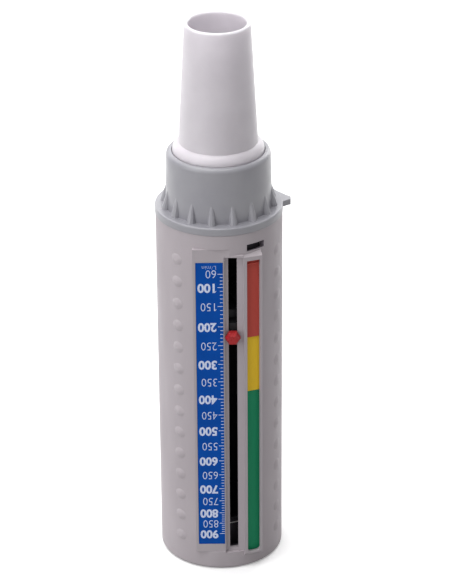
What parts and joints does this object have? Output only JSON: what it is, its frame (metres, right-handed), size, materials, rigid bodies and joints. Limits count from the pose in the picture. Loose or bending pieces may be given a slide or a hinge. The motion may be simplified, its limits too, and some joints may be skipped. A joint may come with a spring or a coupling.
{
  "type": "peak flow meter",
  "caption": "Hand-held peak flow meter: slotted tubular barrel with sliding pointer, printed scale and zone strips, ribbed twist collar and tapered mouthpiece.",
  "frame": {"origin": "centre of the base, on the face that the meter stands on, on the barrel's axis", "axes": "+Z along the barrel's axis towards the mouthpiece; the scale faces -Y; +X is to the right of the scale as seen from the front"},
  "size_m": [0.0491, 0.0479, 0.211],
  "materials": {
    "casing_grey": "fine moulded satin, warm light grey",
    "tube_black": "matt black moulded",
    "label_blue": "satin printed film, white figures and ticks",
    "zone_green": "satin",
    "zone_yellow": "satin",
    "zone_red": "satin",
    "plug_black": "matt black moulded",
    "buffer_light": "matt silicone",
    "rod_steel": "ground stainless",
    "spider_white": "satin moulded",
    "clip_steel": "spring steel",
    "anchor_white": "satin moulded",
    "sleeve_black": "matt rubber",
    "spring_steel": "bright wire",
    "piston_black": "matt moulded",
    "bush_white": "smooth acetal",
    "pointer_red": "semi-gloss moulded",
    "runner_black": "matt moulded",
    "pad_felt": "felt",
    "collar_grey": "moulded satin, cool mid grey",
    "seal_black": "matt rubber",
    "mouthpiece_white": "smooth semi-gloss white"
  },
  "bodies": {
    "casing": {"barrel": "casing_grey", "measuring_tube": "tube_black", "scale_label": "label_blue", "zone_strip_green": "zone_green", "base_plug": "plug_black", "bottom_buffer": "buffer_light", "guide_rod": "rod_steel", "inlet_spider": "spider_white", "rod_retaining_clip": "clip_steel", "spring_anchor": "anchor_white", "top_buffer": "sleeve_black", "return_spring": "spring_steel", "collar_seal": "seal_black"},
    "piston_carriage": {"piston": "piston_black", "piston_bush": "bush_white"},
    "pointer": {"pointer_knob": "pointer_red", "pointer_runner": "runner_black", "pointer_friction_pad": "pad_felt"},
    "red_slide": {"zone_slide_red": "zone_red"},
    "yellow_slide": {"zone_slide_yellow": "zone_yellow"},
    "twist_collar": {"collar": "collar_grey"},
    "mouthpiece_body": {"mouthpiece": "mouthpiece_white"}
  },
  "joints": [
    {"name": "piston_slide", "type": "slide", "parent": "casing", "child": "piston_carriage", "axis": [0, 0, 1], "range_m": [-0.0871, 0.0257], "deforming": ["return_spring"]},
    {"name": "pointer_slide", "type": "slide", "parent": "casing", "child": "pointer", "axis": [0, 0, 1], "range_m": [-0.0871, 0.0257]},
    {"name": "red_zone_slide", "type": "slide", "parent": "casing", "child": "red_slide", "axis": [0, 0, 1], "range_m": [-0.0911, 0]},
    {"name": "yellow_zone_slide", "type": "slide", "parent": "casing", "child": "yellow_slide", "axis": [0, 0, 1], "range_m": [-0.0687, 0]},
    {"name": "collar_twist", "type": "hinge", "parent": "casing", "child": "twist_collar", "pos_m": [0, 0, 0.148], "axis": [0, 0, 1], "range_deg": [0, 20]},
    {"name": "mouthpiece_pull", "type": "slide", "parent": "twist_collar", "child": "mouthpiece_body", "axis": [0, 0, 1], "range_m": [0, 0.015]}
  ],
  "couplings": [
    {"joint": "pointer_slide", "follows": "piston_slide", "ratio": 1}
  ]
}
